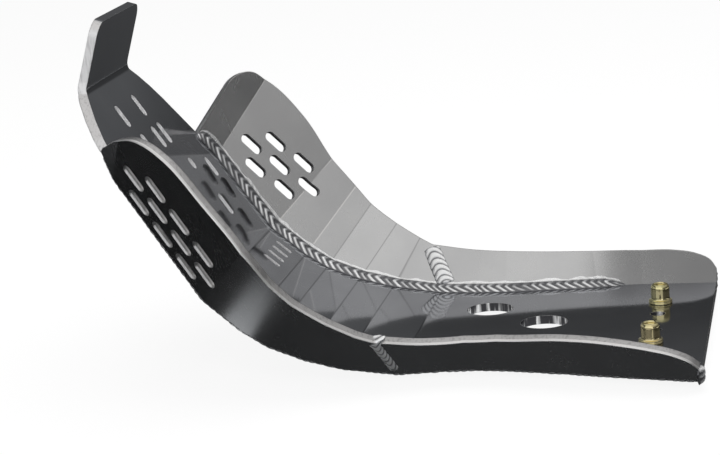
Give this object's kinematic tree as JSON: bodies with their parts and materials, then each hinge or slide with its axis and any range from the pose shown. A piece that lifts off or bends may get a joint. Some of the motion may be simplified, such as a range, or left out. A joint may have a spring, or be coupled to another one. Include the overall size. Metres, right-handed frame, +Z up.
{
  "type": "motorcycle skid plate",
  "caption": "Welded aluminium motorcycle skid plate: bent centre sheet with drain holes, flared slotted front wings, low rear rails, weld beads and rivet nuts.",
  "frame": {"origin": "midway between the two rivet nuts, on the underside of the flat base", "axes": "+X to the front of the motorcycle, +Y to its left side, +Z up, square to the base"},
  "size_m": [0.3495, 0.2529, 0.201],
  "materials": {
    "plate_sheet": "bright rolled sheet, unpainted",
    "wing_sheet": "bright rolled sheet, unpainted",
    "rail_sheet": "bright rolled sheet, unpainted",
    "weld": "as welded, rippled",
    "zinc_nut": "yellow zinc plated"
  },
  "bodies": {
    "root": {"centre_plate": "plate_sheet", "left_front_wing": "wing_sheet", "right_front_wing": "wing_sheet", "left_rear_rail": "rail_sheet", "right_rear_rail": "rail_sheet", "left_welds": "weld", "right_welds": "weld", "rivet_nuts": "zinc_nut"}
  },
  "joints": []
}
